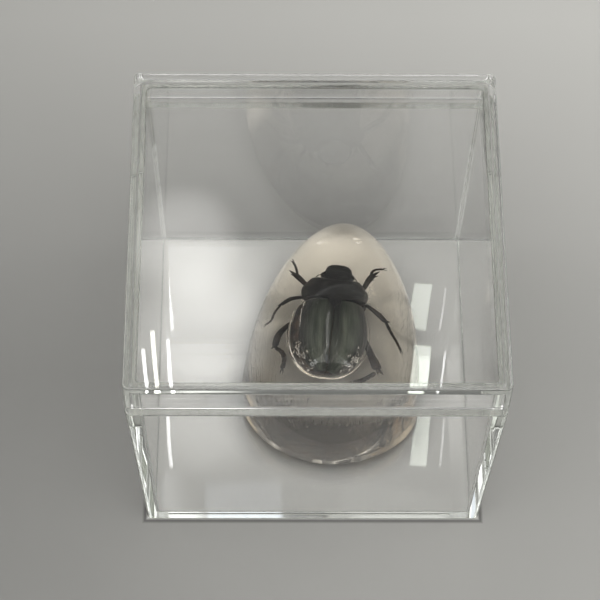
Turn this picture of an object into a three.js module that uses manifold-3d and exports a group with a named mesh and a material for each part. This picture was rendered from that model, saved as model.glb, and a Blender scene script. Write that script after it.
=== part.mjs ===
// A beetle cast in a domed block of clear resin, lying in a clear square display box with a lift-off lid.
// Millimetres, +Z up. The origin is the centre of the box's underside, and -Y is the front.
// The beetle and the air trapped round it are sealed in the block, so this model holds only the
// three pieces that come apart on a bench: the box's base, its lid, and the resin block.
import * as THREE from "three";
import { mergeVertices } from "three/addons/utils/BufferGeometryUtils.js";
import Module from "manifold-3d";

// The box, outside: 3 in square and 2 7/16 in tall.
const BOX_WIDTH = 76.2;
const BOX_HEIGHT = 61.9;
const CORNER_RADIUS = 1.2; // of the upright edges, outside

// The lid: a flat plate with a short skirt that hangs round the base's rim.
const PLATE = 2.6;
const SKIRT_WALL = 1.3;
const LID_HEIGHT = 8.0;

// The base: it narrows towards the floor, and carries a thin rim above a ledge.
const LEDGE_HEIGHT = 51.2;
const FOOT_WIDTH = 72.0; // outside, at the underside
const LEDGE_WIDTH = 76.1; // outside, at the ledge
const FLOOR = 2.0;
const INSIDE_WIDTH_LOW = 68.0; // at the floor
const RIM_WALL = 1.1;
const INNER_CORNER_RADIUS = 0.9;
const CLEARANCE = 0.3; // between the lid and the base

// The resin block: an egg-shaped plan, widest near the front, under a low dome.
const BLOCK_HALF_WIDTH = 19.6;
const BLOCK_FRONT = 15.6; // from the widest line to the front end
const BLOCK_BACK = 39.4; // from the widest line to the narrow end
const BLOCK_THICKNESS = 19.0;
const BLOCK_EDGE_RADIUS = 0.6; // round the underside
const BLOCK_NARROWING = 0.09; // share of the width lost towards the narrow end, beyond the ellipse's own
const FRONT_POWER = 1.85; // exponent of the front half of the plan: 2 is an ellipse, less is more pointed
const SIDE_FULLNESS = 2.1; // exponent of the dome's section: 2 is an ellipse, more is blunter
const END_FULLNESS = 3.2;
const BLOCK_X = 4.0; // centre of the widest line, in the box
const BLOCK_Y = -5.9;
const BLOCK_TURN = THREE.MathUtils.degToRad(-6.1);
const BLOCK_LIFT = 0.2; // air under the block
const BLOCK_SIDES = 88;
const DOME_STEPS = 20;
const EDGE_STEPS = 5;

const ARC_STEPS = 6; // per rounded corner
const TINY = 1e-4;

const wasm = await Module();
wasm.setup();

// Boolean work: geometries become solids here, and solids become geometries again.
function solid(geometry) {
  const bare = geometry.clone();
  bare.deleteAttribute("normal");
  bare.deleteAttribute("uv");
  const merged = mergeVertices(bare, TINY);
  const vertProperties = new Float32Array(merged.attributes.position.array);
  const triVerts = new Uint32Array(merged.index.array);
  return new wasm.Manifold(new wasm.Mesh({ numProp: 3, vertProperties, triVerts }));
}

function geometryOf(manifold) {
  const { vertProperties, triVerts } = manifold.getMesh();
  const geometry = new THREE.BufferGeometry();
  geometry.setAttribute("position", new THREE.BufferAttribute(vertProperties, 3));
  geometry.setIndex(new THREE.BufferAttribute(triVerts, 1));
  return geometry;
}

// A square with rounded corners, centred on the origin.
function roundedSquare(width, radius) {
  const half = width / 2;
  const inner = half - radius;
  const shape = new THREE.Shape();
  shape.moveTo(inner, -half);
  shape.absarc(inner, -inner, radius, -Math.PI / 2, 0);
  shape.absarc(inner, inner, radius, 0, Math.PI / 2);
  shape.absarc(-inner, inner, radius, Math.PI / 2, Math.PI);
  shape.absarc(-inner, -inner, radius, Math.PI, (3 * Math.PI) / 2);
  return shape;
}

// An upright block between two heights, whose width changes evenly from one to the other.
function taperedBlock(lowWidth, highWidth, low, high, radius) {
  const shape = roundedSquare(lowWidth, radius);
  const options = { depth: high - low, bevelEnabled: false, curveSegments: ARC_STEPS };
  const geometry = new THREE.ExtrudeGeometry(shape, options);
  const place = geometry.attributes.position;
  for (let i = 0; i < place.count; i++) {
    const up = place.getZ(i) / (high - low);
    const grow = THREE.MathUtils.lerp(1, highWidth / lowWidth, up);
    place.setXYZ(i, place.getX(i) * grow, place.getY(i) * grow, low + place.getZ(i));
  }
  return solid(geometry);
}

// The base: the tapered wall up to the ledge, the rim above it, and one hollow down to the floor.
function boxBase() {
  const rimTop = BOX_HEIGHT - PLATE - CLEARANCE;
  const rimWidth = BOX_WIDTH - 2 * (SKIRT_WALL + CLEARANCE);
  const mouthWidth = rimWidth - 2 * RIM_WALL;
  const above = 1; // the hollow's cutter stands this far above the rim
  const cutterGrowth = ((mouthWidth - INSIDE_WIDTH_LOW) / (rimTop - FLOOR)) * above;
  const wall = taperedBlock(FOOT_WIDTH, LEDGE_WIDTH, 0, LEDGE_HEIGHT, CORNER_RADIUS);
  const rim = taperedBlock(rimWidth, rimWidth, LEDGE_HEIGHT / 2, rimTop, INNER_CORNER_RADIUS);
  const hollow = taperedBlock(
    INSIDE_WIDTH_LOW,
    mouthWidth + cutterGrowth,
    FLOOR,
    rimTop + above,
    INNER_CORNER_RADIUS,
  );
  return geometryOf(wall.add(rim).subtract(hollow));
}

// The lid: a plate and its skirt in one, hollow from below.
function boxLid() {
  const skirtBottom = BOX_HEIGHT - LID_HEIGHT;
  const insideWidth = BOX_WIDTH - 2 * SKIRT_WALL;
  const below = 1; // the hollow's cutter reaches this far below the skirt
  const cap = taperedBlock(BOX_WIDTH, BOX_WIDTH, skirtBottom, BOX_HEIGHT, CORNER_RADIUS);
  const hollow = taperedBlock(
    insideWidth,
    insideWidth,
    skirtBottom - below,
    BOX_HEIGHT - PLATE,
    INNER_CORNER_RADIUS,
  );
  return geometryOf(cap.subtract(hollow));
}

// The outline of the block seen from above, at an angle measured round its centre line: half of a
// slightly pointed ellipse in front, and behind it a longer half ellipse that narrows a little more.
function blockOutline(across, along) {
  if (along > 0) {
    const narrowed = 1 - BLOCK_NARROWING * along ** 3;
    return new THREE.Vector2(BLOCK_HALF_WIDTH * across * narrowed, BLOCK_BACK * along);
  }
  const bend = 2 / FRONT_POWER;
  const width = BLOCK_HALF_WIDTH * Math.sign(across) * Math.abs(across) ** bend;
  return new THREE.Vector2(width, -BLOCK_FRONT * Math.abs(along) ** bend);
}

// The block: a round dome is turned on the lathe, and each of its points is then moved out to the
// egg-shaped outline. The rounded lower edge keeps its own radius all the way round.
function resinBlock() {
  const domeHeight = BLOCK_THICKNESS - BLOCK_EDGE_RADIUS;
  const profile = [new THREE.Vector2(0, 0)];
  for (let i = 0; i <= EDGE_STEPS; i++) {
    const turn = ((i / EDGE_STEPS - 1) * Math.PI) / 2;
    const radius = BLOCK_HALF_WIDTH - BLOCK_EDGE_RADIUS * (1 - Math.cos(turn));
    profile.push(new THREE.Vector2(radius, BLOCK_EDGE_RADIUS * (1 + Math.sin(turn))));
  }
  for (let i = 1; i <= DOME_STEPS; i++) {
    const rise = ((i / DOME_STEPS) * Math.PI) / 2;
    const radius = i < DOME_STEPS ? BLOCK_HALF_WIDTH * Math.cos(rise) : 0;
    profile.push(new THREE.Vector2(radius, BLOCK_EDGE_RADIUS + domeHeight * Math.sin(rise)));
  }
  const geometry = new THREE.LatheGeometry(profile, BLOCK_SIDES);
  geometry.rotateX(Math.PI / 2);
  const place = geometry.attributes.position;
  for (let i = 0; i < place.count; i++) {
    const point = new THREE.Vector3().fromBufferAttribute(place, i);
    const radius = Math.hypot(point.x, point.y);
    if (radius < TINY) continue;
    const outline = blockOutline(point.x / radius, point.y / radius);
    if (point.z > BLOCK_EDGE_RADIUS + TINY) {
      const lengthwise = (point.y / radius) ** 2;
      const fullness = THREE.MathUtils.lerp(SIDE_FULLNESS, END_FULLNESS, lengthwise);
      const rise = Math.atan2((point.z - BLOCK_EDGE_RADIUS) / domeHeight, radius / BLOCK_HALF_WIDTH);
      outline.multiplyScalar(Math.cos(rise) ** (2 / fullness));
      point.z = BLOCK_EDGE_RADIUS + domeHeight * Math.sin(rise) ** (2 / fullness);
    } else {
      outline.setLength(outline.length() - (BLOCK_HALF_WIDTH - radius));
    }
    place.setXYZ(i, outline.x, outline.y, point.z);
  }
  return geometryOf(solid(geometry));
}

// Clear polystyrene and clear casting resin, the resin a little warm.
const polystyrene = { color: 0xe9ebe6, roughness: 0.06, metalness: 0, transparent: true, opacity: 0.35 };
const casting = { color: 0xd9ccae, roughness: 0.04, metalness: 0, transparent: true, opacity: 0.45 };

function piece(name, geometry, finish) {
  const mesh = new THREE.Mesh(geometry, new THREE.MeshStandardMaterial(finish));
  mesh.name = name;
  return mesh;
}

const displayBox = new THREE.Group();
displayBox.add(piece("box_base", boxBase(), polystyrene));
displayBox.add(piece("box_lid", boxLid(), polystyrene));

const block = piece("resin_block", resinBlock(), casting);
block.position.set(BLOCK_X, BLOCK_Y, FLOOR + BLOCK_LIFT);
block.rotation.z = BLOCK_TURN;
displayBox.add(block);

export default displayBox;
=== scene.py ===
# %% [markdown]
# # A beetle in clear resin, in its display box
#
# Three clear things lie inside one another here: a box with its lid, a domed block of casting resin, and
# the beetle in the resin with a film of air round it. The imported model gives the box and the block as
# plain solids in one frame, in metres, +Z up. This lesson remakes them as smooth surfaces with polished
# edges, because glass and clear plastic show every flat facet, and then builds what the solids can't hold.

import bpy
import numpy as np
from mathutils import Matrix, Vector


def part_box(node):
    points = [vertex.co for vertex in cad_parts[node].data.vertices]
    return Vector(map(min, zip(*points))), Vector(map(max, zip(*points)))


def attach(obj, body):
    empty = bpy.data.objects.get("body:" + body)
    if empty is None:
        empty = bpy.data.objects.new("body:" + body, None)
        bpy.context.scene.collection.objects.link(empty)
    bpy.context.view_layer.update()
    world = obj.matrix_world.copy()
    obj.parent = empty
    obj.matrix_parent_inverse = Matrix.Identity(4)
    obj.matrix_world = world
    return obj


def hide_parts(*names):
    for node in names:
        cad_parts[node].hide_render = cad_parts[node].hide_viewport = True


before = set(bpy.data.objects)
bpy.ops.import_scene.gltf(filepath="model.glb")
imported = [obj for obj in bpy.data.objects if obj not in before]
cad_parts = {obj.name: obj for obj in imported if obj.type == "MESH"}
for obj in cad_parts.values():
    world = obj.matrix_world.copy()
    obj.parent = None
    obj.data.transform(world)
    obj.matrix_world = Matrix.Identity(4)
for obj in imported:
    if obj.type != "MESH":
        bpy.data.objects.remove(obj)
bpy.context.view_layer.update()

MM = 0.001  # every shape below is worked out in millimetres and scaled once, as it becomes a mesh
scene = bpy.context.scene
print("frame nodes:", sorted(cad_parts))

# %% [markdown]
# ## The camera first
#
# The camera looks down through the lid from the front. It could be aimed with a Track To constraint, but
# the box's corners fix all three turns, so the matrix is written out: the camera's own Z points back at
# the viewer, X to the right and Y up, and a small roll turns X and Y about Z.

# %% Camera
ELEVATION, YAW, ROLL = np.radians([58.96, -1.34, 1.26])
TARGET = np.array([-2.87, 4.44, 25.0])
DISTANCE = 499.2
LENS = 138.0  # on a sensor 36 mm wide


def camera_axes():
    """The camera's X, Y and Z axes: back from its elevation and yaw, right level, up square to both, then
    right and up turned by the roll."""
    back = np.array([np.sin(YAW) * np.cos(ELEVATION), -np.cos(YAW) * np.cos(ELEVATION), np.sin(ELEVATION)])
    right = np.array([np.cos(YAW), np.sin(YAW), 0.0])
    up = np.cross(back, right)
    turned_right = np.cos(ROLL) * right + np.sin(ROLL) * up
    turned_up = np.cos(ROLL) * up - np.sin(ROLL) * right
    return turned_right, turned_up, back


camera_x, camera_y, camera_z = camera_axes()
camera = bpy.data.objects.new("camera", bpy.data.cameras.new("camera"))
camera.data.lens = LENS
camera.data.sensor_width = 36.0
camera.data.clip_start = 0.01
scene.collection.objects.link(camera)
placed = np.eye(4)
placed[:3, :3] = np.stack([camera_x, camera_y, camera_z], 1)
placed[:3, 3] = (TARGET + DISTANCE * camera_z) * MM
camera.matrix_world = Matrix(placed.tolist())
scene.camera = camera
print("camera at", np.round(placed[:3, 3], 4))

# %% [markdown]
# ## From rings to a mesh
#
# Nearly every piece here is a closed skin over a row of rings: the box's wall carried round a square, the
# dome's section turned round its middle, a beetle's leg along its path. So one helper joins neighbouring
# rings with four-sided faces and closes the two ends with a fan to a pole. It measures the signed volume
# to be sure that the faces look outwards, whichever way the rings ran.


# %% Skin and mesh helpers
def skin(rings):
    """A closed surface over rings, an array (rows, columns, 3) whose first and last rows shrink to a pole.
    Returns its vertices and its faces, four vertex numbers a row, with -1 for the fourth of a triangle."""
    rows, columns = rings.shape[:2]
    vertices = np.vstack([rings[0].mean(0), rings[1:-1].reshape(-1, 3), rings[-1].mean(0)])
    row, column = np.meshgrid(np.arange(rows - 3), np.arange(columns), indexing="ij")
    here = 1 + row * columns + column
    beside = 1 + row * columns + (column + 1) % columns
    quads = np.stack([here, beside, beside + columns, here + columns], -1).reshape(-1, 4)
    ring = np.arange(columns)
    after = (ring + 1) % columns
    last = 1 + (rows - 3) * columns
    start = np.stack([0 * ring, 1 + after, 1 + ring, 0 * ring - 1], -1)
    end = np.stack([0 * ring + len(vertices) - 1, last + ring, last + after, 0 * ring - 1], -1)
    faces = np.vstack([quads, start, end])
    a, b, c = (vertices[faces[:, k]] for k in range(3))
    d = vertices[np.where(faces[:, 3] < 0, faces[:, 2], faces[:, 3])]
    volume = np.einsum("ij,ij->", a, np.cross(b, c)) + np.einsum("ij,ij->", a, np.cross(c, d))
    if volume < 0:
        faces = np.where(faces[:, 3:] < 0, faces[:, [2, 1, 0, 3]], faces[:, ::-1])
    return vertices, faces


def new_piece(name, shells, material, normals=None, attributes=None):
    """One object, in metres, at the origin, from shells of vertices and faces. normals gives each vertex its
    exact direction, and attributes holds one number for each vertex under a name that a material reads."""
    counts = np.cumsum([0] + [len(vertices) for vertices, _ in shells])
    vertices = np.vstack([vertices for vertices, _ in shells])
    faces = np.vstack([np.where(faces < 0, -1, faces + n) for (_, faces), n in zip(shells, counts)])
    corners = faces[faces >= 0]
    starts = np.cumsum(np.append(0, (faces >= 0).sum(1)[:-1]))
    mesh = bpy.data.meshes.new(name)
    mesh.vertices.add(len(vertices))
    mesh.vertices.foreach_set("co", (vertices * MM).ravel())
    mesh.loops.add(len(corners))
    mesh.loops.foreach_set("vertex_index", corners.astype(np.int32))
    mesh.polygons.add(len(faces))
    mesh.polygons.foreach_set("loop_start", starts.astype(np.int32))
    mesh.polygons.foreach_set("use_smooth", np.ones(len(faces), bool))
    mesh.update(calc_edges=True)
    mesh.validate()
    for label, values in (attributes or {}).items():
        mesh.attributes.new(label, "FLOAT", "POINT").data.foreach_set("value", values.astype(np.float32))
    if normals is not None:
        mesh.normals_split_custom_set_from_vertices(normals.tolist())
    piece = bpy.data.objects.new(name, mesh)
    scene.collection.objects.link(piece)
    mesh.materials.append(material)
    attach(piece, "root")
    print(f"{name}: {len(faces)} faces")
    return piece


# %% [markdown]
# ## Shader helpers
#
# A Principled shader does nearly all of it. Plain values go straight on its own sockets, and only what
# varies over the surface is linked. A node tree could be drawn by hand in the editor, but here many small
# sums of places and distances are needed, so each kind of node that comes up often has a short helper.


# %% Material helpers
def new_material(name, values):
    """A material with the given plain values on its Principled shader, with its tree and that shader."""
    material = bpy.data.materials.new(name)
    material.use_nodes = True
    shader = material.node_tree.nodes["Principled BSDF"]
    for socket, value in values.items():
        shader.inputs[socket].default_value = value
    return material, material.node_tree, shader


def add_node(tree, kind, inputs=None, **settings):
    """A shader node with its settings, and its inputs set to a value or linked from another node's output."""
    node = tree.nodes.new("ShaderNode" + kind)
    for setting, value in settings.items():
        setattr(node, setting, value)
    for socket, value in (inputs or {}).items():
        if isinstance(value, bpy.types.NodeSocket):
            tree.links.new(value, node.inputs[socket])
        else:
            node.inputs[socket].default_value = value
    return node


def object_place(tree, scale=(1, 1, 1)):
    """The place on the object, stretched along each axis by scale, in metres."""
    place = add_node(tree, "TexCoord").outputs["Object"]
    return add_node(tree, "Mapping", {"Vector": place, "Scale": scale}).outputs["Vector"]


def absorb(tree, color, density):
    """Plain absorption inside a clear solid: light dies away by (1 - color) times density for each metre."""
    volume = add_node(tree, "VolumeAbsorption", {"Color": (*color, 1), "Density": density})
    output = tree.nodes["Material Output"]
    tree.links.new(volume.outputs["Volume"], output.inputs["Volume"])


def grey_ramp(tree, value, stops):
    """A grey that follows a value through (place, grey) stops."""
    ramp = add_node(tree, "ValToRGB", {"Fac": value})
    for _ in stops[2:]:
        ramp.color_ramp.elements.new(0.5)
    for element, (place, grey) in zip(ramp.color_ramp.elements, stops):
        element.position = place
        element.color = (grey, grey, grey, 1)
    return ramp.outputs["Color"]


# %% Helpers for one node each
def calculate(tree, operation, *values):
    """What one Math node makes of numbers or sockets."""
    return add_node(tree, "Math", dict(enumerate(values)), operation=operation).outputs["Value"]


def combine(tree, operation, a, b):
    """What one Vector Math node makes of two vectors, or of a vector and a number for SCALE."""
    second = "Scale" if operation == "SCALE" else 1
    node = add_node(tree, "VectorMath", {0: a, second: b}, operation=operation)
    return node.outputs["Value" if operation == "DOT_PRODUCT" else "Vector"]


def remap(tree, value, low, high, to_low=0.0, to_high=1.0, **settings):
    """A value's span from low to high carried to another span, and held at both ends."""
    span = {"Value": value, "From Min": low, "From Max": high, "To Min": to_low, "To Max": to_high}
    return add_node(tree, "MapRange", span, **settings).outputs["Result"]


def blend(tree, factor, a, b):
    """A colour between a and b."""
    return add_node(tree, "Mix", {"Factor": factor, "A": a, "B": b}, data_type="RGBA").outputs["Result"]


def noise(tree, place, scale, detail):
    """A smooth noise between 0 and 1, with scale grains to the metre."""
    return add_node(tree, "TexNoise", {"Vector": place, "Scale": scale, "Detail": detail}).outputs["Fac"]


def bump(tree, height, distance, strength=1.0, normal=None):
    """A surface direction tipped by the slope of a height, over an earlier direction where there is one."""
    inputs = {"Height": height, "Distance": distance, "Strength": strength}
    if normal is not None:
        inputs["Normal"] = normal
    return add_node(tree, "Bump", inputs).outputs["Normal"]


# %% [markdown]
# ## Clear polystyrene
#
# The box is moulded in clear polystyrene, the plastic of most small display boxes. It bends light more
# than window glass (index 1.59), so its edges pipe light and look bright or dark rather than grey. Two
# faint bumps keep it from looking computed: slow waves from the mould, and fine scuffs from handling.


# %% Polystyrene
def clear_polystyrene(wave, scuff):
    """Clear plastic with slow mould waves and fine handling scuffs, both as bump depths in metres."""
    material, tree, shader = new_material(
        "box_plastic",
        {"Base Color": (1, 1, 1, 1), "Roughness": 0.0, "IOR": 1.59, "Transmission Weight": 1.0},
    )
    slow = bump(tree, noise(tree, object_place(tree), 55.0, 1.0), wave)
    fine = bump(tree, noise(tree, object_place(tree, (1, 14, 14)), 160.0, 4.0), scuff, normal=slow)
    tree.links.new(fine, shader.inputs["Normal"])
    absorb(tree, (0.8, 0.86, 0.76), 5.0)
    return material


box_plastic = clear_polystyrene(wave=4e-6, scuff=1e-7)

# %% [markdown]
# ## The box's wall, carried round a square
#
# Base and lid are each one moulding, so each is one closed skin: a profile that starts at the middle of
# the underside, climbs the outside, turns in at the mouth and ends at the middle of the floor. A bevel
# modifier could round the edges, but on long flat walls it leaves the shading normals tilted. Instead
# every corner of the profile is a short curve whose direction is known, and the mesh is given exact
# normals.

# %% Box dimensions, from the frame
base_high = np.array(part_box("box_base")[1]) / MM
lid_low, lid_high = (np.array(corner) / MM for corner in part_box("box_lid"))
PLATE = 2.6
SKIRT_WALL = 1.3
GAP = 0.3  # between the lid and the rim
FLOOR = 2.0
LEDGE_HEIGHT = 51.2
FOOT_HALF = 36.0
FLOOR_HALF = 34.0
RIM_WALL = 1.1
OUTER_CORNER = 1.2  # radius of the upright edges, outside
INNER_CORNER = 0.9
CORNER_STEPS = 8
lid_half = lid_high[0]
ledge_half = base_high[0]
rim_half = lid_half - SKIRT_WALL - GAP
rim_top = base_high[2]
mouth_half = rim_half - RIM_WALL
print("lid half", round(lid_half, 2), "ledge half", round(ledge_half, 2), "rim top", round(rim_top, 2))


# %% Profile with rounded corners
def rounded_profile(corners, rounding, steps=6):
    """Points and directions along a line of corners. Each inner corner is cut back by its rounding and
    bridged by a quadratic curve, (1-t)^2 A + 2t(1-t) C + t^2 B, which leaves along both of its sides."""
    t = np.linspace(0, 1, steps + 1)[:, None]
    points = [corners[:1]]
    directions = [corners[1:2] - corners[:1]]
    for before, corner, after, cut in zip(corners, corners[1:], corners[2:], rounding):
        into, out = before - corner, after - corner
        a = corner + into / np.linalg.norm(into[:2]) * cut
        b = corner + out / np.linalg.norm(out[:2]) * cut
        points.append((1 - t) ** 2 * a + 2 * t * (1 - t) * corner + t**2 * b)
        directions.append(2 * (1 - t) * (corner - a) + 2 * t * (b - corner))
    points.append(corners[-1:])
    directions.append(corners[-1:] - corners[-2:-1])
    return np.vstack(points), np.vstack(directions)


def square_rings(points, directions):
    """Carries a profile round a square with rounded corners. A profile point is (half width, height, corner
    radius). At angle a of a corner that lies towards (sx, sy), the place is (half - radius)(sx, sy) +
    radius (cos a, sin a), and the normal is square to both the profile's direction and the ring's."""
    quarter = np.linspace(0, np.pi / 2, CORNER_STEPS + 1)
    angle = np.concatenate([quarter + k * np.pi / 2 for k in range(4)])
    side = np.repeat([[1, 1], [-1, 1], [-1, -1], [1, -1]], CORNER_STEPS + 1, 0)
    turn = np.stack([np.cos(angle), np.sin(angle)], -1)
    half, height, radius = (points[:, None, k] for k in range(3))
    d_half, d_height, d_radius = (directions[:, None, k] for k in range(3))
    flat = (half - radius)[..., None] * side + radius[..., None] * turn
    rings = np.concatenate([flat, np.broadcast_to(height[..., None], (*flat.shape[:2], 1))], -1)
    slope = (d_half - d_radius) * (side * turn).sum(-1) + d_radius
    normals = np.concatenate([turn * d_height[..., None], -slope[..., None]], -1)
    normals /= np.linalg.norm(normals, axis=-1, keepdims=True)
    normals = np.vstack([normals[0].mean(0), normals[1:-1].reshape(-1, 3), normals[-1].mean(0)])
    return rings, normals


# %% [markdown]
# ## The base
#
# Its walls lean out a little, so that it leaves the mould, and its inside leans with them. Near the top
# the wall steps in to a ledge, and a thin rim stands above it for the lid to slip over.

# %% Box base
base_corners = np.array(
    [
        (0, 0, 0),
        (FOOT_HALF, 0, OUTER_CORNER),
        (ledge_half, LEDGE_HEIGHT, OUTER_CORNER),
        (rim_half, LEDGE_HEIGHT, INNER_CORNER),
        (rim_half, rim_top, INNER_CORNER),
        (mouth_half, rim_top, INNER_CORNER),
        (FLOOR_HALF, FLOOR, INNER_CORNER),
        (0, FLOOR, 0),
    ]
)
base_rings, base_normals = square_rings(
    *rounded_profile(base_corners, [0.45, 0.25, 0.2, 0.35, 0.35, 0.7])
)
base = new_piece("display_box_base", [skin(base_rings)], box_plastic, base_normals)
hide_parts("box_base")

# %% [markdown]
# ## The lid
#
# A flat plate with a short skirt. The skirt stops above the ledge, so a strip of the thin rim shows all
# round between them.

# %% Box lid
lid_corners = np.array(
    [
        (0, lid_high[2], 0),
        (lid_half, lid_high[2], OUTER_CORNER),
        (lid_half, lid_low[2], OUTER_CORNER),
        (lid_half - SKIRT_WALL, lid_low[2], INNER_CORNER),
        (lid_half - SKIRT_WALL, lid_high[2] - PLATE, INNER_CORNER),
        (0, lid_high[2] - PLATE, 0),
    ]
)
lid_rings, lid_normals = square_rings(*rounded_profile(lid_corners, [0.4, 0.3, 0.3, 0.3]))
lid = new_piece("display_box_lid", [skin(lid_rings)], box_plastic, -lid_normals)
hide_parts("box_lid")

# %% [markdown]
# ## The resin block
#
# The block was cast in a spoon-shaped mould and ground flat underneath. From above it is egg-shaped, very
# slightly pointed at its wide end, and from the side a low dome. Sculpting would give it dents that the
# polish of the real one doesn't have, so its surface is a direction round the middle and a height angle:
# the egg outline shrinks with the cosine of the height angle while the height grows with its sine, both
# raised to a power that makes both ends blunter than the sides.

# %% Block dimensions
BLOCK_HALF_WIDTH = 19.6
BLOCK_FRONT = 15.6
BLOCK_BACK = 39.4
BLOCK_THICKNESS = 19.0
BLOCK_EDGE = 0.6  # radius of the lower edge
BLOCK_NARROWING = 0.09
FRONT_POWER = 1.85  # exponent of the plan in front: 2 is an ellipse, less is more pointed
SIDE_FULLNESS = 2.1  # exponent of the dome's section: 2 is an ellipse, more is blunter
END_FULLNESS = 3.2
BLOCK_PLACE = np.array([4.0, -5.9, 2.2])
BLOCK_TURN = np.radians(-6.1)


# %% Block surface
def egg_outline(angle):
    """Across and along the block at an angle about its middle: behind, a half ellipse that loses a share of
    its width with the cube of its sine, and in front cosine and sine raised to 2/p, for |x|^p + |y|^p = 1."""
    c, s = np.cos(angle), np.sin(angle)
    bend = np.where(s > 0, 1, 2 / FRONT_POWER)
    narrowed = 1 - BLOCK_NARROWING * np.maximum(s, 0) ** 3
    across = BLOCK_HALF_WIDTH * narrowed * np.sign(c) * np.abs(c) ** bend
    along = np.where(s > 0, BLOCK_BACK, BLOCK_FRONT) * np.sign(s) * np.abs(s) ** bend
    return np.stack([across, along], -1)


def block_rings(columns=192, edge_steps=12, dome_steps=64):
    """Rings from the middle of the underside, round the lower edge by a quarter circle of one radius, and
    up the dome, where the outline scales by cos(h)^(2/p) and the height by sin(h)^(2/p)."""
    angle = np.arange(columns) * 2 * np.pi / columns
    outline = egg_outline(angle)
    reach = np.linalg.norm(outline, axis=-1, keepdims=True)
    rings = [np.zeros((columns, 3))]
    for inset in (12.0, 6.0, 3.0):
        flat = outline * (1 - inset / reach)
        rings.append(np.column_stack([flat, 0 * angle]))
    for turn in np.linspace(-np.pi / 2, 0, edge_steps + 1):
        flat = outline * (1 - BLOCK_EDGE * (1 - np.cos(turn)) / reach)
        rings.append(np.column_stack([flat, 0 * angle + BLOCK_EDGE * (1 + np.sin(turn))]))
    power = 2 / (SIDE_FULLNESS + (END_FULLNESS - SIDE_FULLNESS) * np.sin(angle) ** 2)
    rise = BLOCK_THICKNESS - BLOCK_EDGE
    for climb in np.linspace(0, np.pi / 2, dome_steps + 1)[1:]:
        flat = outline * (np.cos(min(climb, np.pi / 2 - 1e-9)) ** power)[:, None]
        rings.append(np.column_stack([flat, BLOCK_EDGE + rise * np.sin(climb) ** power]))
    return np.array(rings)


def in_block(points):
    """Points of the block's own frame, turned and moved to where the block lies in the box."""
    c, s = np.cos(BLOCK_TURN), np.sin(BLOCK_TURN)
    return points @ np.array([[c, s, 0], [-s, c, 0], [0, 0, 1]]) + BLOCK_PLACE


# %% [markdown]
# ## Casting resin
#
# Resin bends light about as much as glass. A faint warm tint comes from absorption in its depth, not from
# a coloured surface, so thin edges stay clear and the long way through the block looks like weak tea.
# The ground underside is scratched, the top keeps a slight ripple from polishing by hand, and the lowest
# few millimetres of the side are tinted dark, a painted shade along the block's foot.


# %% Resin material
BLOCK_FOOT = BLOCK_PLACE[2] * MM  # height of the underside
SCRATCHES = ((0.7, 500.0), (-0.9, 700.0), (0.1, 900.0))  # turn and grains to the metre of each set
SHADED_SIDE = 0.006  # height of the painted shade on the side, above the foot
HAZE = 0.04  # roughness of the underside
SCRATCH_HALF = 0.012  # half the width of a scratch, in the noise's own units
SCRATCH_DEPTH = 2e-5
RIPPLE_DEPTH = 2e-5


def casting_resin():
    """Clear warm resin: polishing ripples all over, a painted shade that darkens the side towards its foot,
    and on the ground underside a haze of roughness and sets of scratches, which are thin level lines of a
    noise stretched along the scratch."""
    material, tree, shader = new_material(
        "casting_resin",
        {"Base Color": (1, 1, 1, 1), "Roughness": 0.0, "IOR": 1.55, "Transmission Weight": 1.0},
    )
    place = object_place(tree)
    height = add_node(tree, "SeparateXYZ", {"Vector": place}).outputs["Z"]
    under = remap(tree, height, BLOCK_FOOT + 2e-4, BLOCK_FOOT)
    normal = bump(tree, noise(tree, place, 70.0, 1.0), RIPPLE_DEPTH)
    for turn, scale in SCRATCHES:
        turned = add_node(tree, "Mapping", {"Vector": place, "Rotation": (0, 0, turn), "Scale": (1, 0.25, 1)})
        lines = noise(tree, turned.outputs["Vector"], scale, 2.0)
        away = calculate(tree, "ABSOLUTE", calculate(tree, "SUBTRACT", lines, 0.5))
        strength = calculate(tree, "MULTIPLY", under, 0.45)
        normal = bump(tree, remap(tree, away, 0.0, SCRATCH_HALF), SCRATCH_DEPTH, strength, normal)
    tree.links.new(normal, shader.inputs["Normal"])
    tree.links.new(calculate(tree, "MULTIPLY", under, HAZE), shader.inputs["Roughness"])
    # painted shade: the side is dark just above the foot and clears a few millimetres up
    rise = remap(tree, height, BLOCK_FOOT, BLOCK_FOOT + SHADED_SIDE)
    stops = [(0.0, 1.0), (0.012, 1.0), (0.02, 0.16), (0.12, 0.3), (0.35, 0.62), (0.7, 0.92), (1.0, 1.0)]
    tree.links.new(grey_ramp(tree, rise, stops), shader.inputs["Base Color"])
    absorb(tree, (0.96, 0.83, 0.6), 20.0)
    return material


resin = casting_resin()
block = new_piece("resin_casting", [skin(in_block(block_rings()))], resin)
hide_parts("resin_block")

# %% [markdown]
# ## The beetle's own frame
#
# The beetle lies at mid-height in the resin, its head to the narrow end. Its parts are worked out in a
# frame of their own, with Y from the tip of the abdomen to the head and Z up from its widest line, and
# then turned into the box. It is rolled a few degrees to its right, so its left flank shows more.

# %% Beetle frame
BEETLE_REAR = np.array([2.75, -8.0, 9.5])  # the abdomen's tip, in the box
BEETLE_TURN = np.radians(-6.0)
BEETLE_ROLL = np.radians(6.0)


def in_box(points, shift=0.0, roll=BEETLE_ROLL):
    """The beetle's points moved sideways by shift, rolled about Y, turned about Z and put in the box."""
    c, s = np.cos(roll), np.sin(roll)
    rolled = np.asarray(points, float) @ np.array([[c, 0, -s], [0, 1, 0], [s, 0, c]])
    c, s = np.cos(BEETLE_TURN), np.sin(BEETLE_TURN)
    turned = (rolled + [shift, 0, 0]) @ np.array([[c, s, 0], [-s, c, 0], [0, 0, 1]])
    return turned + BEETLE_REAR


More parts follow.
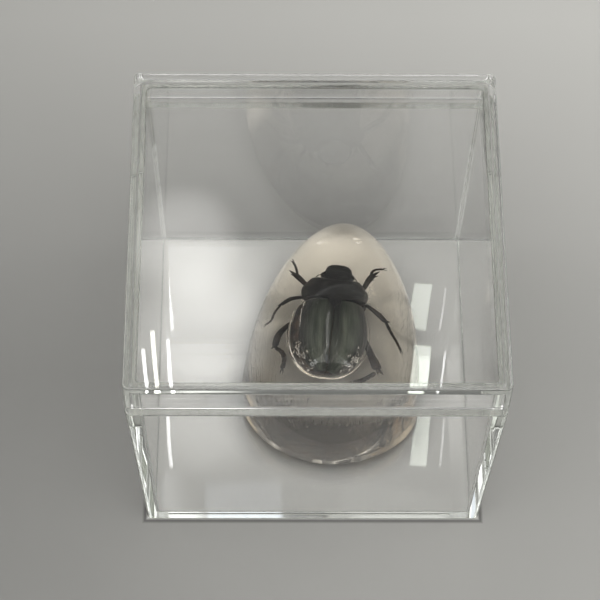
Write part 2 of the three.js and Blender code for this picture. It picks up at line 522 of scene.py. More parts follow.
def wave(angle, sharpness=0.9):
    """Sine and cosine of an angle, each raised to a power under 1, so that a round section grows squarer."""
    sine, cosine = np.sin(angle), np.cos(angle)
    return np.sign(sine) * np.abs(sine) ** sharpness, np.sign(cosine) * np.abs(cosine) ** sharpness


def swell(value, place, width):
    """A smooth bump of height 1 at a place: exp(-((value - place) / width)^2)."""
    return np.exp(-(((value - place) / width) ** 2))


# %% [markdown]
# ## The body's outline
#
# Wing cases, abdomen and the air round them all follow one outline, so it is written once: half the width
# and the height above the widest line, both as functions of the distance from the tip. Each is part of a
# superellipse, the curve |x|^p + |y|^p = 1, which gives the blunt round rear of a chafer.

# %% Body outline
HALF_WIDTH = 6.85
HEIGHT = 4.7
WIDEST_AT = 9.5
HIGHEST_AT = 10.5
REAR_REACH = 9.35  # from the widest place back to where the outline closes
BODY_FRONT = 17.7  # where the wing cases meet the shield


def body_half_width(y):
    """Half the body's width: a superellipse from the tip to the widest place, then a slow narrowing."""
    behind = np.clip((WIDEST_AT - y) / REAR_REACH, 0, 1)
    before = np.clip((y - WIDEST_AT) / 8.0, 0, 1)
    return HALF_WIDTH * (1 - behind**2.3) ** (1 / 2.3) - 1.3 * before**1.5


def body_height(y):
    """The back's height over the widest line: a superellipse from the tip, and nearly level in front."""
    behind = np.clip((HIGHEST_AT - y) / 10.4, 0, 1)
    before = np.clip((y - HIGHEST_AT) / 7.2, 0, 1)
    return HEIGHT * (1 - behind**2.5) ** (1 / 2.5) - 0.5 * before**2


# %% [markdown]
# ## Wing cases
#
# Each wing case is a thin curved shell. A ring of its section runs out over the back from the suture to
# the folded edge under the flank, and returns 0.16 mm further in. Nine shallow grooves run lengthwise, as
# dips in the outer arc, and a swelling marks the shoulder.

# %% Wing cases
SHELL = 0.16
SUTURE_GAP = 0.05
GROOVES = 9
EDGE_ANGLE = {-1: np.radians(80), 1: np.radians(98)}  # the left one has drawn back from the flank


def wing_case(side):
    """One wing case, side -1 or 1, as a closed skin of rings from its rear tip to its front."""
    t = np.linspace(0, 1, 80)[:, None]
    y = 0.35 + (BODY_FRONT - 0.35) * t**1.5
    across = np.linspace(0, 1, 82)[None, :]
    start = np.arcsin(np.clip(SUTURE_GAP / np.maximum(body_half_width(y), 0.3), 0, 0.9))
    angle = start + (EDGE_ANGLE[side] - start) * across
    sine, cosine = wave(angle)
    cosine = np.where(cosine < 0, 0.55 * cosine, cosine)
    ends = np.clip(t * 9, 0, 1) * np.clip((1 - t) * 9, 0, 1)
    dip = 0.05 * ends * np.exp(-((((across * GROOVES) % 1 - 0.5) / 0.16) ** 2))
    dip = dip + 0.10 * np.exp(-((across * 22) ** 2)) - 0.16 * swell(across, 0.55, 0.1) * swell(y, 15.8, 1.0)
    dip = dip - 0.12 * swell(across, 0.5, 0.12) * swell(y, 2.8, 0.8)
    base = np.sqrt(np.clip(1 - ((y - 16.6) / 1.5).clip(0) ** 2, 0.05, 1))
    width = body_half_width(y) * base * (0.95 if side < 0 else 0.99)
    height = body_height(y) * base
    outer = np.stack([side * (width - dip) * sine, y + 0 * sine, (height - dip) * cosine], -1)
    thin = np.minimum(SHELL, 0.3 * width)
    inner = np.stack([side * (width - thin) * sine, y + 0 * sine, (height - thin) * cosine], -1)
    rings = np.concatenate([outer, inner[:, ::-1]], 1)
    middle = np.concatenate([across[0], across[0, ::-1]])
    label = np.concatenate([[0.5], np.tile(middle, len(y) - 2), [0.5]])
    return skin(in_box(rings)), label


# %% [markdown]
# ## Chitin
#
# A beetle's skin is thin dark plastic: no colour of its own depth, a satin shine, and fine pits. A noise
# between two dark colours, stretched lengthwise, gives the streaks. The wing cases are grey-green in a band
# down each, and nearly black along the suture, at the folded edge and towards the shield, so their colour
# also follows the distance out from the suture, which the mesh carries as an attribute.


# %% Chitin materials
def chitin(name, dark, light, rough, pits, streak=1.0, depth=3e-5):
    """Satin chitin between two colours, mottled by noise that streak stretches lengthwise, with pits."""
    values = {"Roughness": rough, "IOR": 1.56, "Specular Tint": (0.3, 0.3, 0.3, 1)}
    material, tree, shader = new_material(name, {**values, "Coat Weight": 0.15, "Coat Roughness": 0.2})
    mottle = noise(tree, object_place(tree, (1, 1 / streak, 1)), 420.0, 4.0)
    ramp = add_node(tree, "ValToRGB", {"Fac": mottle})
    for element, place, color in zip(ramp.color_ramp.elements, (0.35, 0.68), (dark, light)):
        element.position, element.color = place, (*color, 1)
    tree.links.new(ramp.outputs["Color"], shader.inputs["Base Color"])
    cells = add_node(tree, "TexVoronoi", {"Vector": object_place(tree), "Scale": pits}, feature="F1")
    tree.links.new(bump(tree, cells.outputs["Distance"], depth, 0.6), shader.inputs["Normal"])
    return material, tree, shader, ramp


FOLDED_EDGE = (0.024, 0.023, 0.021, 1)
BANDS = [(0.0, 0.4), (0.1, 0.5), (0.24, 1.2), (0.4, 1.05), (0.58, 0.4), (1.0, 0.3)]  # out from the suture
DARKENING = (0.004, 0.0105)  # from here forwards the wing cases darken, in metres along the box


def wing_case_chitin():
    """Grey-green satin chitin with lengthwise streaks, its colour times a grey that follows the distance
    from the suture and a share that falls towards the shield, and blended to brown at the folded edge."""
    material, tree, shader, ramp = chitin(
        "wing_case", (0.028, 0.040, 0.030), (0.19, 0.215, 0.17), 0.42, 3200.0, streak=9.0
    )
    across = add_node(tree, "Attribute", attribute_name="across").outputs["Fac"]
    along = add_node(tree, "SeparateXYZ", {"Vector": object_place(tree)}).outputs["Y"]
    lit = combine(tree, "SCALE", grey_ramp(tree, across, BANDS), remap(tree, along, *DARKENING, 1.0, 0.3))
    banded = combine(tree, "MULTIPLY", ramp.outputs["Color"], lit)
    edge = remap(tree, across, 0.45, 0.95, interpolation_type="SMOOTHSTEP")
    tree.links.new(blend(tree, edge, banded, FOLDED_EDGE), shader.inputs["Base Color"])
    return material


wing_case_finish = wing_case_chitin()
shield_finish = chitin("shield", (0.006, 0.006, 0.006), (0.020, 0.021, 0.017), 0.45, 2600.0)[0]
leg_finish = chitin("leg_chitin", (0.012, 0.010, 0.008), (0.052, 0.036, 0.026), 0.4, 3500.0, streak=2.0)[0]
belly_finish = chitin("belly", (0.028, 0.019, 0.013), (0.13, 0.085, 0.055), 0.5, 1800.0, depth=6e-5)[0]
eye_finish = chitin("eye", (0.004, 0.004, 0.004), (0.016, 0.013, 0.011), 0.25, 9000.0, depth=1e-5)[0]

for side, name in ((-1, "wing_case_left"), (1, "wing_case_right")):
    shell, label = wing_case(side)
    new_piece(name, [shell], wing_case_finish, attributes={"across": label})

# %% [markdown]
# ## The shield behind the head
#
# The pronotum and the ring of body under it are one tube, so it is one skin: rings from its rear edge to
# its front edge, whose width and height change on the way. Each end is rounded over by the factor
# (1 - |2t - 1|^24)^(1/2). The rear edge bulges back at the middle and the front corners reach forward.


# %% Shield
def closing(t, power=24):
    """1 along most of a run from 0 to 1, and down to 0 at both ends: (1 - |2t - 1|^power)^(1/2)."""
    return np.sqrt(1 - np.abs(2 * t - 1) ** power)


def shield_rings():
    """Rings of the pronotum: a squarish arch above the widest line, and a shallower bowl below it."""
    t = (0.5 - 0.5 * np.cos(np.pi * np.linspace(0, 1, 56)))[:, None]
    angle = np.linspace(-np.pi, np.pi, 96, endpoint=False)[None, :]
    sine, cosine = wave(angle, 0.86)
    width = 5.45 + 0.3 * np.sin(np.pi * np.minimum(t / 0.7, 1)) - 1.5 * ((t - 0.45) / 0.55).clip(0) ** 1.6
    top = 4.15 - 1.5 * t**2.2
    bottom = 3.1 - 0.8 * t
    rim = 1 + 0.022 * swell(np.abs(angle), np.pi / 2, 0.09) - 0.012 * swell(np.abs(angle), 1.28, 0.08)
    scale = closing(t) * rim
    height = np.where(cosine > 0, top, bottom) * cosine * scale
    rear = 16.8 + 1.0 * np.abs(sine) ** 2
    front = 22.7 + 0.7 * np.abs(sine) ** 3
    y = rear * (1 - t) + front * t
    height = height - 0.05 * swell(angle, 0.0, 0.05) * closing(t, 8)
    return np.stack([width * sine * scale, y, height], -1)


SHIELD_SHIFT = 0.25  # the front of the body leans a little to the right of the abdomen
HEAD_SHIFT = 0.5
LEG_SHIFT = 0.6
new_piece("pronotum", [skin(in_box(shield_rings(), SHIELD_SHIFT))], shield_finish)

# %% [markdown]
# ## Small solids
#
# Eyes, hips, bubbles and antenna leaves are all stretched spheres, and every leg joint, spine and claw is
# a tube along a short path. Two helpers make them all: one stretches a sphere, and one carries an ellipse
# along a smooth curve through a few points, with its width and thickness as functions of the way along.


# %% Ellipsoid and limb
def ellipsoid(center, radii, rows=14, columns=20):
    """A sphere stretched by three radii about its centre."""
    lift = np.linspace(-np.pi / 2, np.pi / 2, rows)[:, None]
    turn = np.linspace(0, 2 * np.pi, columns, endpoint=False)[None, :]
    ball = np.stack([np.cos(lift) * np.cos(turn), np.cos(lift) * np.sin(turn), np.sin(lift) + 0 * turn], -1)
    return ball * radii + center


def smooth_path(points, count):
    """A Catmull-Rom curve: between two points it is the cubic that leaves each one parallel to the line
    between its neighbours."""
    points = np.asarray(points, float)
    padded = np.vstack([2 * points[0] - points[1], points, 2 * points[-1] - points[-2]])
    place = np.linspace(0, len(points) - 1, count)
    k = np.minimum(place.astype(int), len(points) - 2)
    t = (place - k)[:, None]
    a, b, c, d = padded[k], padded[k + 1], padded[k + 2], padded[k + 3]
    return 0.5 * (2 * b + (c - a) * t + (2 * a - 5 * b + 4 * c - d) * t**2 + (3 * b - a - 3 * c + d) * t**3)


def limb(points, widths, flat=0.7, rows=22, columns=14, ends=10):
    """A tube along a smooth path. widths are radii at even steps along it, flat is its thickness as a share
    of its width, and both ends are rounded over."""
    path = smooth_path(points, rows)
    t = np.linspace(0, 1, rows)
    along = np.gradient(path, axis=0)
    along /= np.linalg.norm(along, axis=1, keepdims=True)
    side = np.cross(along, [0, 0, 1.0])
    side /= np.linalg.norm(side, axis=1, keepdims=True)
    lift = np.cross(side, along)
    radius = np.interp(t, np.linspace(0, 1, len(widths)), widths) * closing(t, ends)
    turn = np.linspace(0, 2 * np.pi, columns, endpoint=False)
    round_side = side[:, None] * np.cos(turn)[None, :, None]
    round_lift = lift[:, None] * np.sin(turn)[None, :, None] * flat
    return path[:, None] + radius[:, None, None] * (round_side + round_lift)


# %% [markdown]
# ## Head
#
# The head is a short tube that droops forward, and the clypeus in front of it is a plate with rounded
# corners and a raised rim. The compound eyes sit at its sides, half under the shield, and short antennae
# with three leaves are folded beneath.


# %% Head
def head_rings():
    """Rings of the head capsule from under the shield to the clypeus, lower and narrower in front."""
    t = (0.5 - 0.5 * np.cos(np.pi * np.linspace(0, 1, 36)))[:, None]
    angle = np.linspace(-np.pi, np.pi, 64, endpoint=False)[None, :]
    sine, cosine = wave(angle, 0.8)
    width = 2.65 + 0.15 * np.sin(np.pi * t) - 0.45 * t**4
    height = 1.95 - 0.85 * t
    y = 21.9 + 3.7 * t
    fold = 0.1 * swell(y, 25.0, 0.18) * (cosine > 0)
    droop = -0.2 - 0.5 * t
    scale = closing(t, 12)
    return np.stack([width * sine * scale, y + 0 * sine, droop + (height - fold) * cosine * scale], -1)


def plate_rings(center, half, power, thickness, rim, tilt, taper=0.0, rows=10, columns=72):
    """A thin plate with a superellipse outline |x|^p + |y|^p = 1, tapered to the rear, its upper face
    raised to a rim by the eighth power of the way out, tilted down in front."""
    turn = np.linspace(0, 2 * np.pi, columns, endpoint=False)
    sine, cosine = wave(turn, 2 / power)
    out = np.linspace(0, 1, rows)
    reach = np.concatenate([out, out[::-1]])[:, None]
    upper = np.concatenate([0 * out, 1 + 0 * out])[:, None]
    x = half[0] * cosine * reach * (1 + taper * sine * reach)
    y = half[1] * sine * reach
    edge = np.sqrt(np.clip(1 - reach**10, 0, 1))
    z = np.where(upper > 0, rim * reach**8 + thickness / 2 * edge, -thickness / 2 * edge) + 0 * x
    return np.stack([x, y, z - tilt * y], -1) + center


FEELER = [(0.7, 25.4, -1.1), (1.1, 26.0, -1.5), (0.9, 26.6, -1.6)]  # the right mouth feeler
head_parts = [
    head_rings(),
    plate_rings((0.1, 25.4, -0.1), (2.3, 1.65), 2.8, 0.5, 0.2, 0.22, taper=-0.14),
    *[limb(np.array(FEELER) * (side, 1, 1), (0.16, 0.16, 0.13)) for side in (-1, 1)],
]
new_piece("head", [skin(in_box(rings, HEAD_SHIFT)) for rings in head_parts], shield_finish)
scutellum = plate_rings((0, 16.3, 4.42), (1.15, 1.35), 2.2, 0.3, 0.0, -0.02, taper=0.72)
new_piece("scutellum", [skin(in_box(scutellum))], shield_finish)
eyes = [ellipsoid((x, 24.15, -0.25), (0.8, 0.85, 0.75), 24, 32) for x in (-2.2, 2.2)]
new_piece("compound_eyes", [skin(in_box(eye, HEAD_SHIFT)) for eye in eyes], eye_finish)


def antenna(side):
    """A jointed stalk folded back beside the head, with three flat leaves at its end."""
    joints = np.array([(2.1, 24.4, -1.0), (3.0, 24.5, -1.4), (3.5, 23.9, -1.6)]) * (side, 1, 1)
    stalk = limb(joints, (0.12, 0.1, 0.1))
    fan = [(3.55 + 0.22 * k, 23.2 - 0.08 * k, -1.7 + 0.03 * k) for k in range(3)]
    leaves = [ellipsoid((side * x, y, z), (0.09, 0.75, 0.28), 10, 12) for x, y, z in fan]
    return [skin(in_box(rings, HEAD_SHIFT)) for rings in (stalk, *leaves)]


new_piece("antennae", antenna(-1) + antenna(1), leg_finish)

# %% [markdown]
# ## Underside
#
# Under the wing cases lies the soft-edged abdomen with its belly plates, and in front of it the stout
# chest that the legs hinge on. Together they are one skin, with a groove between each plate and the next.
# The resin's flat base mirrors this side to a low view, so it is worth as much care as the back.


# %% Underside
def belly_rings():
    """Rings from the abdomen's tip to the shield: the wing cases' own section, a little smaller, above the
    widest line, and a bowl below it with plate grooves and a furrow down the middle of the chest."""
    t = np.linspace(0, 1, 130)[:, None]
    y = 0.1 + 17.0 * t**1.25
    angle = np.linspace(-np.pi, np.pi, 80, endpoint=False)[None, :]
    sine, cosine = wave(angle)
    depth = 4.0 * (1 - np.clip((11.0 - y) / 10.9, 0, 1) ** 2.2) ** 0.5
    plates = sum(swell(y, 1.5 + 1.65 * k, 0.14) for k in range(5)) + swell(y, 12.4, 0.16)
    furrow = swell(np.abs(angle), np.pi, 0.06) * np.clip((y - 9.6) / 1.2, 0, 1)
    below = np.clip(-cosine * 3, 0, 1)
    groove = 0.16 * plates * below + 0.25 * furrow
    width = (np.where(sine < 0, 1.0, 0.97) * body_half_width(y) - 0.6 * groove) * closing(t, 30)
    height = np.where(cosine > 0, 0.84 * body_height(y), depth - groove) * closing(t, 30)
    return np.stack([width * sine, y + 0 * sine, height * cosine], -1)


HIPS = {  # centre, half size: fore, middle and hind, for the right side
    "fore": ((1.8, 19.2, -2.7), (1.5, 0.9, 0.9)),
    "middle": ((2.2, 13.7, -3.6), (1.5, 1.1, 0.9)),
    "hind": ((3.0, 10.2, -3.4), (2.7, 1.1, 0.8)),
}
underside = [skin(in_box(belly_rings()))]
for center, radii in HIPS.values():
    for side in (-1, 1):
        underside.append(skin(in_box(ellipsoid(np.array(center) * (side, 1, 1), radii, 18, 26))))
new_piece("underside", underside, belly_finish)

# %% [markdown]
# ## Legs
#
# Each leg is a thigh, a shin that widens to its end, a foot of five beads, and two hooked claws. They lie
# as they fell when the beetle was set, so each one has its own short list of joints. Spines and teeth are
# thin cones at places along the shin.

# %% Legs
LEG_Z = -1.6  # the shins, feet and spines lie at this height in the beetle's frame


def foot_beads(points, radius):
    """Five overlapping beads along a path, each growing from 0.8 of the radius, and two hooked claws."""
    path = smooth_path(points, 43)
    widths = radius * np.array([0.8, 0.9, 1.0, 0.95])
    starts = range(0, 40, 8)
    beads = [limb(path[start : start + 12 : 2], widths, 0.9, 9, 10, 8) for start in starts]
    tip = path[-1]
    ahead = path[-1] - path[-3]
    ahead /= np.linalg.norm(ahead)
    side = np.cross(ahead, [0, 0, 1.0])
    hooks = []
    for spread in (-1, 1):
        bend = tip + 0.35 * ahead + 0.22 * spread * side
        point = tip + 0.75 * ahead + 0.2 * spread * side - [0, 0, 0.25]
        hooks.append(limb([tip - 0.1 * ahead, bend, point], (0.12, 0.1, 0.03), 0.9, 9, 8))
    return beads + hooks


def leg(hip, knee, shin, shin_radii, foot, spines, flat=0.55, thigh=0.95, foot_radius=0.2):
    """All the skins of one leg. shin is a list of points from the knee to the ankle, and each spine is its
    place along the shin, from 0 to 1, and its tip's x and y."""
    middle = np.add(hip, knee) / 2 - [0, 0, 0.2]
    parts = [limb([hip, middle, knee], (0.6 * thigh, thigh, 0.5 * thigh), 0.6)]
    parts.append(limb([knee, *shin], shin_radii, flat, 34, 18, 14))
    path = smooth_path([knee, *shin], 101)
    for along, x, y in spines:
        root, tip = path[int(100 * along)], np.array([x, y, LEG_Z])
        parts.append(limb([root, (root + tip) / 2 + [0, 0, 0.05], tip], (0.34, 0.24, 0.04), 0.7, 9, 8))
    parts += foot_beads(foot, foot_radius)
    return [skin(in_box(rings, LEG_SHIFT, roll=0.0)) for rings in parts]


def level(*pairs):
    """Places in the beetle's plan, all at the legs' height."""
    return [np.array([x, y, LEG_Z]) for x, y in pairs]


LEGS = {
    "leg_front_left": leg(
        (-1.9, 19.3, -2.9), (-4.0, 20.3, -2.0), level((-5.8, 22.9), (-7.0, 24.6)), (0.3, 0.42, 0.52, 0.5),
        level((-6.6, 24.3), (-6.8, 25.7), (-7.1, 27.0), (-7.6, 28.2)),
        [(0.95, -8.2, 26.0), (0.8, -7.9, 24.9), (0.6, -7.0, 23.8)],
        foot_radius=0.23,
    ),
    "leg_front_right": leg(
        (1.9, 19.3, -2.9), (4.0, 20.6, -2.0), level((4.9, 24.0), (5.5, 25.9)), (0.3, 0.42, 0.52, 0.5),
        level((5.3, 25.3), (5.3, 26.6), (5.8, 27.4), (6.9, 27.9)),
        [(0.95, 6.5, 27.2), (0.8, 6.4, 26.0), (0.62, 5.9, 24.8)],
        foot_radius=0.26,
    ),
    "leg_middle_left": leg(
        (-2.3, 13.7, -3.7), (-5.0, 19.0, -1.9), level((-7.4, 18.5), (-9.2, 17.1)), (0.34, 0.42, 0.46, 0.42),
        level((-9.2, 17.1), (-10.3, 15.3), (-10.9, 13.4), (-12.0, 12.5)),
        [(0.97, -9.9, 17.0), (0.6, -7.6, 19.0)],
        foot_radius=0.28,
    ),
    "leg_middle_right": leg(
        (2.3, 13.7, -3.7), (5.0, 18.5, -1.9), level((7.0, 16.8), (8.8, 15.0)), (0.34, 0.44, 0.54, 0.48),
        level((8.8, 14.9), (10.1, 12.6), (11.4, 10.7), (12.4, 9.0)),
        [(0.97, 9.6, 15.3), (0.9, 9.4, 14.3), (0.6, 7.9, 17.0)],
        foot_radius=0.33,
    ),
    "leg_hind_left": leg(
        (-3.2, 10.3, -3.6), (-7.0, 12.8, -2.0), level((-9.1, 9.7), (-9.7, 6.6)), (0.42, 0.6, 0.7, 0.62),
        level((-9.5, 6.3), (-8.3, 5.2), (-7.6, 3.6), (-7.7, 1.9)),
        [(0.97, -9.0, 5.6), (0.95, -10.4, 6.0), (0.6, -10.2, 8.6)],
        thigh=1.3,
        foot_radius=0.44,
    ),
    "leg_hind_right": leg(
        (3.2, 10.3, -3.6), (5.5, 10.2, -2.0), level((7.0, 6.0), (8.2, 3.2)), (0.4, 0.62, 0.85, 1.0),
        level((7.9, 2.6), (6.7, 1.7), (5.5, 0.9), (4.3, 0.4)),
        [(0.97, 9.4, 2.6), (0.97, 8.4, 2.2), (0.65, 8.4, 5.4)],
        thigh=1.3,
        foot_radius=0.34,
    ),
}
for name, shells in LEGS.items():
    new_piece(name, shells, leg_finish)

# %% [markdown]
# ## Trapped air
#
# Resin shrinks as it sets and draws away from the waxy wing cases, so a collar of air lies round the rear
# of the body, with fine bubbles and a few long films over it. A hairline crack is air too, but a thread.
# Air in resin is a clear solid seen from the denser side: its surface bends light by one over the resin's
# index, and past the critical angle it is a perfect mirror, which is what makes trapped air look like
# silver. A silver metal would be simpler, but it would be as bright from every side.


# %% Trapped air
def trapped_air():
    """A clear solid of air inside resin: the refraction index is that of air over that of the resin."""
    material = bpy.data.materials.new("trapped_air")
    material.use_nodes = True
    tree = material.node_tree
    tree.nodes.remove(tree.nodes["Principled BSDF"])
    ripple = bump(tree, noise(tree, object_place(tree), 900.0, 2.0), 6e-5, 0.5)
    glass = add_node(tree, "BsdfGlass", {"IOR": 1 / 1.55, "Roughness": 0.0, "Normal": ripple})
    tree.links.new(glass.outputs["BSDF"], tree.nodes["Material Output"].inputs["Surface"])
    return material


def margin(t):
    """The body's widest line from the left shoulder round the rear to the right flank, t from 0 to 1: y
    follows a cosine, and x is the body's half width there."""
    y = np.maximum(WIDEST_AT - REAR_REACH * np.cos((t - 0.5) * np.pi * 1.42), 0.16)
    side = np.sign(t - 0.5)
    return np.stack([side * body_half_width(y), y, 0 * t], -1)


rng = np.random.default_rng(7)
air_finish = trapped_air()


def air_collar(rows=160, columns=20):
    """A flattened tube along the body's margin, thick on the left flank and thin on the right."""
    t = np.linspace(0, 1, rows)
    path = margin(t)
    out = path - np.array([0, WIDEST_AT, 0])
    out /= np.linalg.norm(out, axis=1, keepdims=True)
    ripple = 1 + 0.18 * np.sin(37 * t) + 0.12 * np.sin(91 * t + 1)
    thick = np.interp(t, [0, 0.12, 0.3, 0.5, 0.75, 1], [0.04, 0.14, 0.1, 0.05, 0.05, 0.03])
    thick = thick * ripple * closing(t, 16)
    tall = np.interp(t, [0, 0.2, 0.5, 1], [0.5, 0.8, 0.3, 0.3]) * closing(t, 16)
    turn = np.linspace(0, 2 * np.pi, columns, endpoint=False)
    rings = path[:, None] + out[:, None] * (0.3 + thick[:, None] * (1 + np.cos(turn)))[..., None]
    rings[..., 2] += tall[:, None] * np.sin(turn) - 0.2
    return rings


def bubbles(count=240):
    """Small air spheres on the rear slope of the wing cases, in a cluster on each side of the suture."""
    side = np.where(rng.random(count) < 0.55, -1, 1)
    y = np.clip(rng.normal(3.6, 1.6, count), 0.8, 9)
    angle = np.radians(np.clip(rng.normal(68, 16, count), 15, 95))
    sine, cosine = wave(angle)
    x = side * body_half_width(y) * sine
    z = body_height(y) * cosine
    radius = 0.09 + 0.2 * rng.random(count) ** 3
    return [ellipsoid((a, b, c + 0.6 * r), (r, r, 0.7 * r), 8, 10) for a, b, c, r in zip(x, y, z, radius)]


FILMS = [  # long flat bubbles: centre and half size
    ((-5.75, 11.8, 2.1), (0.16, 3.0, 0.4)),
    ((-5.2, 15.8, 1.9), (0.35, 0.7, 0.3)),
    ((3.4, 18.0, 3.45), (0.14, 0.3, 0.12)),
    ((-1.3, 2.6, 3.6), (0.07, 0.9, 0.1)),
    ((-0.6, 2.2, 3.4), (0.07, 0.8, 0.1)),
    ((0.8, 2.4, 3.5), (0.08, 0.8, 0.1)),
    ((1.6, 3.0, 3.7), (0.06, 0.9, 0.1)),
]
films = [ellipsoid(center, radii, 16, 16) for center, radii in FILMS]


def hairline():
    """A crack in the resin over the right wing case: a thin thread 0.1 mm above the curve of the back."""
    x = np.linspace(0.2, 3.2, 6)
    y = 9.3 - 0.08 * x**2
    z = body_height(y) * np.sqrt(1 - (x / body_half_width(y)) ** 2) + 0.1
    return limb(np.stack([x, y, z], -1), (0.03, 0.07, 0.08, 0.04), 0.8, 26, 8)


air = [skin(in_box(rings)) for rings in [air_collar(), hairline(), *films, *bubbles()]]
new_piece("trapped_air", air, air_finish)

# %% [markdown]
# ## The table and the light
#
# Clear plastic shows what it mirrors and bends, so the sky matters more than any lamp. Behind the box it is
# dim, because the lid mirrors it and the flat underside of the block turns it into the dark crescent in
# front. The light comes from broad low glows at both sides and in front, which leave no bright spots under
# the dome. Crisp windows behind give the streaks in the lid, and a band at 64 degrees, which the walls pipe
# down, lights the box's edges. Area lamps would do for a solid thing, but here each light's place in the
# sky is what counts, so all of them are written as directions in the world's shader.
#
# A clear block throws hardly any shadow, so a soft painted shadow round its foot is part of the table's
# colour, as is a thin painted shadow line under the box's foot, and painted light makes the place where the
# box stands paler.


# %% Floor
def painted_block_shadow(tree, place):
    """A soft painted shadow round the block's foot, by q, which is 1 on the egg outline: the length of the
    place in the block's frame with each axis divided by the block's reach along it."""
    x, y, _ = BLOCK_PLACE * MM
    inputs = {
        "Vector": place,
        "Location": (x, y, 0),
        "Rotation": (0, 0, BLOCK_TURN),
        "Scale": (BLOCK_HALF_WIDTH * MM, BLOCK_FRONT * MM, 1),
    }
    turned = add_node(tree, "Mapping", inputs, vector_type="TEXTURE").outputs["Vector"]
    across, along, _ = add_node(tree, "SeparateXYZ", {"Vector": turned}).outputs
    front = calculate(tree, "MINIMUM", along, 0.0)
    back = calculate(tree, "MAXIMUM", along, 0.0)
    reach = calculate(tree, "MULTIPLY_ADD", back, BLOCK_FRONT / BLOCK_BACK, front)
    outward = add_node(tree, "CombineXYZ", {"X": across, "Y": reach}).outputs["Vector"]
    half_q = combine(tree, "SCALE", outward, 0.5)
    q = add_node(tree, "VectorMath", {0: half_q}, operation="LENGTH").outputs["Value"]
    # painted shadow: darkest near the outline, fading out over a few millimetres and weaker towards the
    # narrow end
    stops = [(0.40, 1.0), (0.45, 0.28), (0.485, 0.36), (0.52, 0.52), (0.56, 0.72), (0.61, 0.9), (0.66, 1.0)]
    return blend(tree, remap(tree, back, 0.0, 1.2, 0.0, 0.7), grey_ramp(tree, q, stops), (1, 1, 1, 1))


FOOT_SHADOW_LINE = 0.0364  # half the width of the painted shadow line round the box's foot
LIT_PLACE_HALF = (0.0345, 0.0372)  # the painted light where the box stands ends between these half widths


def pale_table():
    """Pale matt laminate with a very slight mottle. Painted light makes it palest where the box stands; round
    it a painted shade lightens evenly from left to right and from front to back, between two bounds, and
    painted shadows run round the box's foot and the block's."""
    material, tree, shader = new_material("pale_table", {"Roughness": 0.6})
    place = object_place(tree)
    color = blend(tree, noise(tree, place, 30.0, 3.0), (0.90, 0.895, 0.86, 1), (0.93, 0.925, 0.89, 1))
    east, north, _ = add_node(tree, "SeparateXYZ", {"Vector": place}).outputs
    square = calculate(tree, "MAXIMUM", calculate(tree, "ABSOLUTE", east), calculate(tree, "ABSOLUTE", north))
    # painted shade round the box: lighter to the right and towards the back
    slope = calculate(tree, "MULTIPLY_ADD", east, 1.1, 0.345)
    tone = calculate(tree, "MULTIPLY_ADD", remap(tree, north, 0.0, 0.1), 0.16, slope)
    painted_shade_around = remap(tree, tone, 0.22, 0.6, 0.22, 0.6)
    # painted light: full brightness where the box stands, painted shade outside it
    shade = remap(tree, square, *LIT_PLACE_HALF, 1.0, painted_shade_around, interpolation_type="SMOOTHSTEP")
    # a thin painted shadow line where the box's foot meets the table
    from_shadow_line = calculate(tree, "ABSOLUTE", calculate(tree, "SUBTRACT", square, FOOT_SHADOW_LINE))
    shade = calculate(tree, "MULTIPLY", shade, remap(tree, from_shadow_line, 1e-4, 7e-4, 0.3))
    toned = combine(tree, "SCALE", color, shade)
    # the painted shadow round the block's foot darkens the table's colour
    block_shadowed = combine(tree, "MULTIPLY", toned, painted_block_shadow(tree, place))
    tree.links.new(block_shadowed, shader.inputs["Base Color"])
    return material


FLOOR_REACH = 1.5
UNDER_BOX = 1.5e-4  # the sliver of air under the box
floor_mesh = bpy.data.meshes.new("table")
corners = [(x * FLOOR_REACH, y * FLOOR_REACH, -UNDER_BOX) for x, y in ((-1, -1), (1, -1), (1, 1), (-1, 1))]
floor_mesh.from_pydata(corners, [], [(0, 1, 2, 3)])
floor_mesh.materials.append(pale_table())
table = bpy.data.objects.new("table", floor_mesh)
scene.collection.objects.link(table)
print("table: a plane", 2 * FLOOR_REACH, "m wide")


# %% Sky
world = bpy.data.worlds.new("sky")
world.use_nodes = True
scene.world = world
sky = world.node_tree
direction = add_node(sky, "TexCoord").outputs["Generated"]


def bearing(azimuth, elevation):
    """The direction at an azimuth (0 is +Y, 90 is +X) and an elevation, both in degrees."""
    a, e = np.radians([azimuth, elevation])
    return float(np.sin(a) * np.cos(e)), float(np.cos(a) * np.cos(e)), float(np.sin(e))


def glow(azimuth, elevation, inner, outer, color):
    """A round light in the sky: full within inner degrees of its middle, and fading out at outer."""
    toward = combine(sky, "DOT_PRODUCT", direction, bearing(azimuth, elevation))
    low, high = (float(np.cos(np.radians(edge))) for edge in (outer, inner))
    return combine(sky, "SCALE", color, remap(sky, toward, low, high, interpolation_type="SMOOTHSTEP"))


def window(azimuth, elevation, width, height, color):
    """A crisp rectangle of light in the sky, its width and height in degrees: the direction's parts across
    and up it, without their signs, must both be small, and its part towards it large."""
    toward = np.array(bearing(azimuth, elevation))
    across = np.array([np.cos(np.radians(azimuth)), -np.sin(np.radians(azimuth)), 0.0])
    inside = calculate(sky, "GREATER_THAN", combine(sky, "DOT_PRODUCT", direction, toward.tolist()), 0.5)
    for axis, size in ((across, width), (np.cross(across, toward), height)):
        away = calculate(sky, "ABSOLUTE", combine(sky, "DOT_PRODUCT", direction, axis.tolist()))
        half = float(np.sin(np.radians(size / 2)))
        inside = calculate(sky, "MULTIPLY", inside, remap(sky, away, 1.05 * half, 0.95 * half))
    return combine(sky, "SCALE", color, inside)


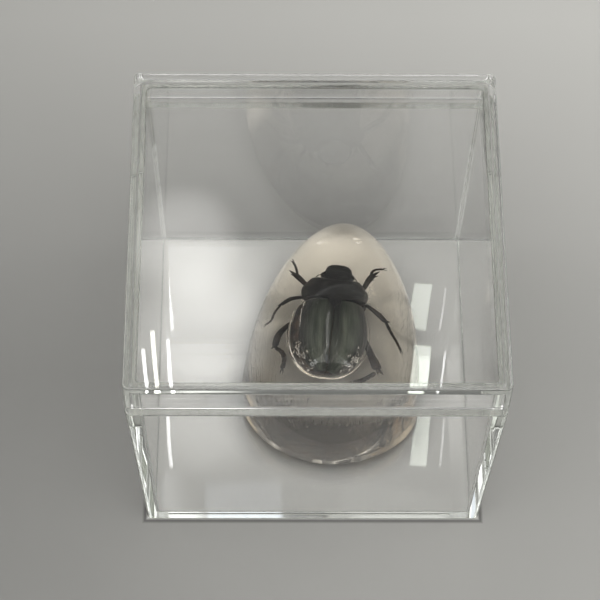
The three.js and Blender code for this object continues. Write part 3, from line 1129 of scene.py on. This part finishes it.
# %% Lights
GLOWS = [  # azimuth, elevation, inner and outer radius in degrees, colour
    (100, 45, 10, 50, (1.3, 1.29, 1.26)),
    (-100, 45, 10, 50, (1.25, 1.24, 1.21)),
    (180, 55, 5, 35, (1.2, 1.19, 1.16)),
    (150, 83, 4, 20, (1.3, 1.29, 1.25)),
    # two small lamps overhead, which sparkle at the block's narrow end
    (124, 74.6, 0.8, 1.6, (12, 12, 11.7)),
    (-147, 76.2, 0.8, 1.6, (12, 12, 11.7)),
    # the soft patch that the lid mirrors at the left
    (-3.3, 59.8, 0.0, 1.95, (2.0, 1.98, 1.92)),
    (-4.0, 57.5, 0.0, 1.6, (1.9, 1.88, 1.82)),
]
WINDOWS = [  # azimuth, elevation, width and height in degrees, colour
    # the band that the walls pipe down to their edges
    (-32, 64.2, 9.0, 5.0, (3.5, 3.5, 3.4)),
    (-15, 64.2, 9.5, 5.0, (1.3, 1.3, 1.3)),
    (-1.5, 64.2, 1.9, 5.0, (0.9, 0.95, 1.05)),
    (7.5, 64.2, 3.6, 5.0, (0.45, 0.45, 0.43)),
    (20, 64.2, 7.0, 5.0, (1.3, 1.3, 1.3)),
    (35, 64.2, 9.0, 5.0, (3.5, 3.5, 3.4)),
    # the narrow panes that the lid mirrors
    (-6.44, 60.65, 0.09, 1.25, (9, 9, 9)),
    (-5.9, 60.45, 0.1, 1.7, (9, 9, 8)),
    (-5.18, 60.55, 0.08, 1.4, (8, 8, 8)),
    (7.5, 60.5, 0.42, 1.2, (4.2, 4.5, 4.0)),
    (8.63, 60.5, 0.04, 1.1, (4, 4, 4)),
]
up = add_node(sky, "SeparateXYZ", {"Vector": direction}).outputs["Z"]
total = grey_ramp(sky, up, [(0.0, 0.07), (0.5, 0.08), (0.85, 0.11), (1.0, 0.30)])
for light in [glow(*values) for values in GLOWS] + [window(*values) for values in WINDOWS]:
    total = combine(sky, "ADD", total, light)
sky.links.new(total, sky.nodes["Background"].inputs["Color"])
print(len(GLOWS) + len(WINDOWS), "lights in the sky")

# %% Light paths
scene.view_settings.view_transform = "Standard"
cycles = scene.cycles
cycles.max_bounces = 64
cycles.transmission_bounces = 24
cycles.glossy_bounces = 48  # light piped along the floor plate turns back some 25 times
cycles.diffuse_bounces = 4
cycles.blur_glossy = 0.3
cycles.use_denoising = True
